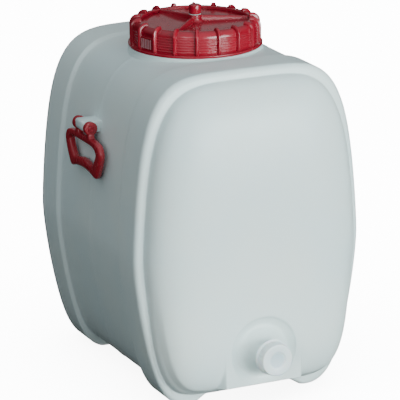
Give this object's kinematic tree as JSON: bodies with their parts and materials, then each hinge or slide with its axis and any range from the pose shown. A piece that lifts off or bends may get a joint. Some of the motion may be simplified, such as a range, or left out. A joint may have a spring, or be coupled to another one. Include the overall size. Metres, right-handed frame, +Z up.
{
  "type": "screw-lid liquid barrel",
  "caption": "Upright blow-moulded barrel for liquids with a wide screw lid and vent plug, a capped outlet low on the front and a drop handle on each side.",
  "frame": {"origin": "on the floor, under the middle of the whole object's box; the lid's axis is 18.2 mm behind it", "axes": "+X to the right seen from the front, +Y from the outlet side to the back, +Z up along the lid's axis"},
  "size_m": [0.337, 0.4424, 0.4885],
  "materials": {
    "tank": "natural translucent polyethylene, satin",
    "lid": "red moulded polyethylene, semi-gloss",
    "handle": "dark red moulded polypropylene, semi-gloss",
    "outlet_cap": "white moulded plastic, satin",
    "seal": "pale silicone rubber, matte"
  },
  "bodies": {
    "tank": {"tank": "tank", "handle_pin_left": "handle", "handle_pin_right": "handle"},
    "lid_plate": {"lid_disc": "lid", "lid_seal": "seal"},
    "lid_ring": {"lid_ring": "lid"},
    "vent_plug": {"vent_plug": "lid", "vent_plug_seal": "seal"},
    "outlet_washer": {"outlet_seal": "seal"},
    "outlet_cap": {"outlet_cap": "outlet_cap"},
    "handle_left": {"handle_left": "handle"},
    "handle_right": {"handle_right": "handle"}
  },
  "joints": [
    {"name": "lid_rise", "type": "slide", "parent": "tank", "child": "lid_plate", "axis": [0, 0, 1], "range_m": [0, 0.0241]},
    {"name": "lid_turn", "type": "hinge", "parent": "lid_plate", "child": "lid_ring", "pos_m": [0, 0.0182, 0.4535], "axis": [0, 0, 1], "range_deg": [0, 1440]},
    {"name": "vent_pull", "type": "slide", "parent": "lid_plate", "child": "vent_plug", "axis": [0, 0, 1], "range_m": [0, 0.018]},
    {"name": "outlet_rise", "type": "slide", "parent": "tank", "child": "outlet_washer", "axis": [0, -1, 0], "range_m": [0, 0.0121]},
    {"name": "outlet_turn", "type": "hinge", "parent": "outlet_washer", "child": "outlet_cap", "pos_m": [0, -0.2132, 0.073], "axis": [0, -1, 0], "range_deg": [0, 1440]},
    {"name": "handle_left_swing", "type": "hinge", "parent": "tank", "child": "handle_left", "pos_m": [-0.159, 0.0182, 0.345], "axis": [0, 1, 0], "range_deg": [0, 150]},
    {"name": "handle_right_swing", "type": "hinge", "parent": "tank", "child": "handle_right", "pos_m": [0.159, 0.0182, 0.345], "axis": [0, -1, 0], "range_deg": [0, 150]}
  ],
  "couplings": [
    {"joint": "lid_rise", "follows": "lid_turn", "m_per_rad": 0.00095493},
    {"joint": "outlet_rise", "follows": "outlet_turn", "m_per_rad": 0.00047746}
  ]
}
